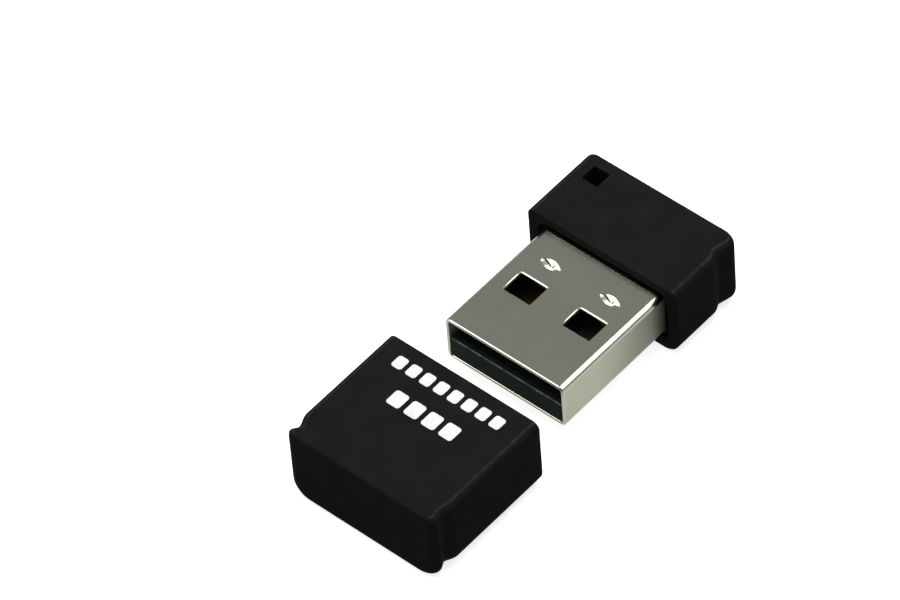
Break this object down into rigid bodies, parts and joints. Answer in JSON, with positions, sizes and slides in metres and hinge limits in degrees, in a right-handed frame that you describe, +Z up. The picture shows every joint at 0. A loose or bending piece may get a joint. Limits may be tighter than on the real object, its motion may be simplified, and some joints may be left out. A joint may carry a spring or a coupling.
{
  "type": "usb flash drive",
  "caption": "Short black USB Type-A flash drive with a bare metal plug, a lanyard hole in its stubby housing and a matching pull-off cap.",
  "frame": {"origin": "on the surface that the drive lies on, under the middle of the box of drive and cap with the cap pulled off", "axes": "+X across the drive, +Y from the closed end of the cap along the plug to the back of the housing, +Z up"},
  "size_m": [0.0152, 0.0364, 0.0071],
  "materials": {
    "case_plastic": "satin black moulded",
    "inner_plastic": "matte black moulded",
    "plug_metal": "nickel-plated steel sheet",
    "tongue_plastic": "dark grey moulded",
    "board": "solder-masked laminate",
    "contact_gold": "gold plated",
    "mould_compound": "epoxy moulding compound",
    "silicon": "polished die",
    "film": "adhesive film",
    "ceramic": "fired ceramic with tinned ends",
    "can_metal": "seam-welded lid",
    "print_ink": "printed white ink"
  },
  "bodies": {
    "drive": {"rear_housing": "case_plastic", "plug_collar": "inner_plastic", "plug_shell": "plug_metal", "tongue_carrier": "tongue_plastic", "substrate": "board", "contact_vbus": "contact_gold", "contact_data_minus": "contact_gold", "contact_data_plus": "contact_gold", "contact_ground": "contact_gold", "test_pads": "contact_gold", "encapsulation": "mould_compound", "controller_die": "silicon", "flash_die_first": "silicon", "flash_die_second": "silicon", "die_attach_films": "film", "bond_wires": "contact_gold", "crystal": "can_metal", "bulk_capacitor": "ceramic", "decoupling_capacitors": "ceramic", "ferrite_bead": "ceramic", "esd_diode": "mould_compound", "pull_resistors": "ceramic"},
    "cap": {"cap_shell": "case_plastic", "cap_print": "print_ink"}
  },
  "joints": [
    {"name": "cap_pull", "type": "slide", "parent": "drive", "child": "cap", "axis": [0, -1, 0], "range_m": [-0.01625, 0.005]}
  ]
}
